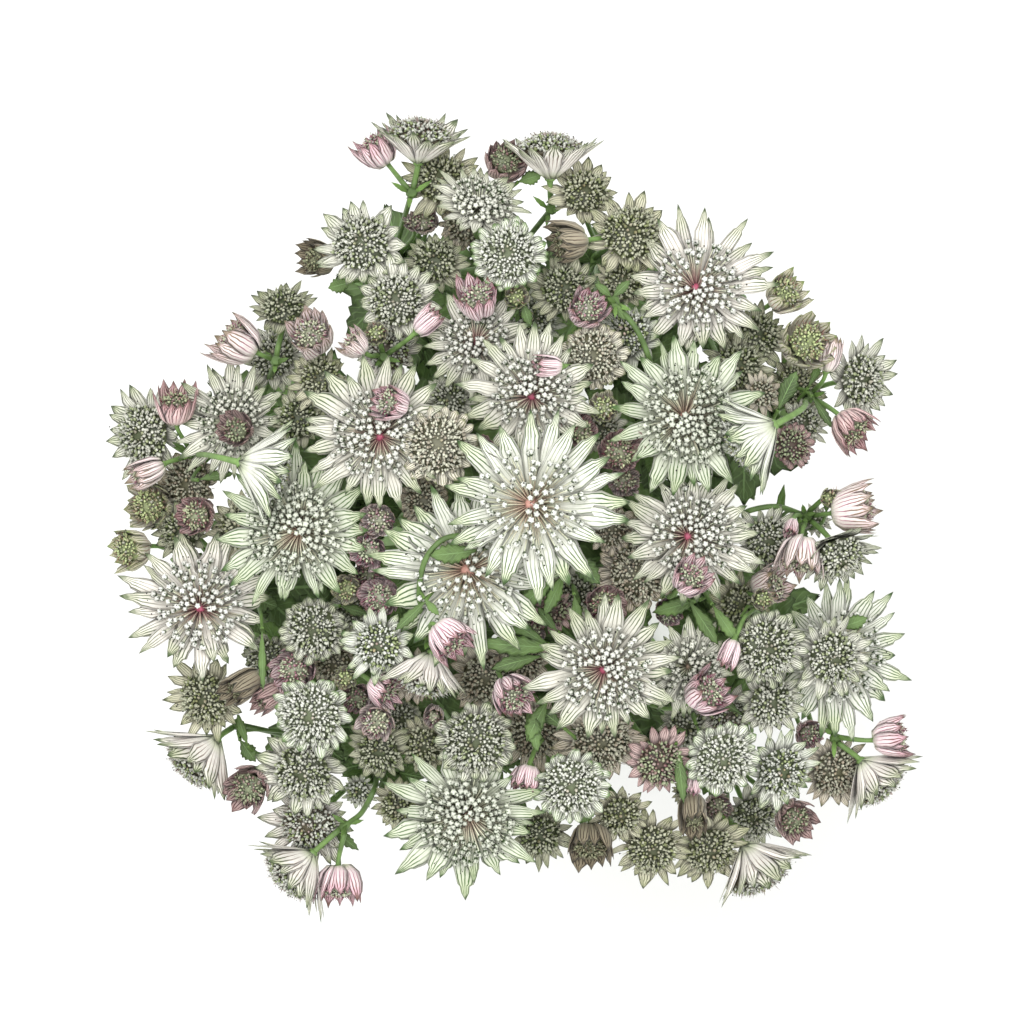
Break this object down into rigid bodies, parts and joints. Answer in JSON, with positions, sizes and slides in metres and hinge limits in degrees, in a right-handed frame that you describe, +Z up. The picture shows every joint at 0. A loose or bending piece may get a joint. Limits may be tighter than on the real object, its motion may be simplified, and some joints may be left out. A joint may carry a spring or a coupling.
{
  "type": "masterwort bouquet",
  "caption": "Round hand-tied bunch of masterwort: starry and cushion-shaped flower heads on forked leafy stems that cross in a spiral under a twine tie and stand on their cut ends.",
  "frame": {"origin": "middle of the cut end of the straight middle stem, on the surface that the bunch stands on", "axes": "+Z up along the middle stem, +Y towards the picture's upper edge, +X towards its right edge"},
  "size_m": [0.2079, 0.2021, 0.3387],
  "materials": {
    "leaf_green": "fresh green, satin",
    "bloom": "papery, matt, veined",
    "twine": "matt natural fibre"
  },
  "bodies": {
    "root": {"stem_01": "leaf_green", "stem_02": "leaf_green", "stem_03": "leaf_green", "stem_04": "leaf_green", "stem_05": "leaf_green", "stem_06": "leaf_green", "stem_07": "leaf_green", "stem_08": "leaf_green", "stem_09": "leaf_green", "stem_10": "leaf_green", "stem_11": "leaf_green", "stem_12": "leaf_green", "stem_13": "leaf_green", "stem_14": "leaf_green", "stem_15": "leaf_green", "stem_16": "leaf_green", "stem_17": "leaf_green", "stem_18": "leaf_green", "stem_19": "leaf_green", "stem_20": "leaf_green", "stem_21": "leaf_green", "stem_22": "leaf_green", "stem_23": "leaf_green", "stem_24": "leaf_green", "spray_01": "bloom", "spray_02": "bloom", "spray_03": "bloom", "spray_04": "bloom", "spray_05": "bloom", "spray_06": "bloom", "spray_07": "bloom", "spray_08": "bloom", "spray_09": "bloom", "spray_10": "bloom", "spray_11": "bloom", "spray_12": "bloom", "spray_13": "bloom", "spray_14": "bloom", "spray_15": "bloom", "spray_16": "bloom", "spray_17": "bloom", "spray_18": "bloom", "spray_19": "bloom", "spray_20": "bloom", "spray_21": "bloom", "spray_22": "bloom", "spray_23": "bloom", "spray_24": "bloom", "tie": "twine"}
  },
  "joints": []
}
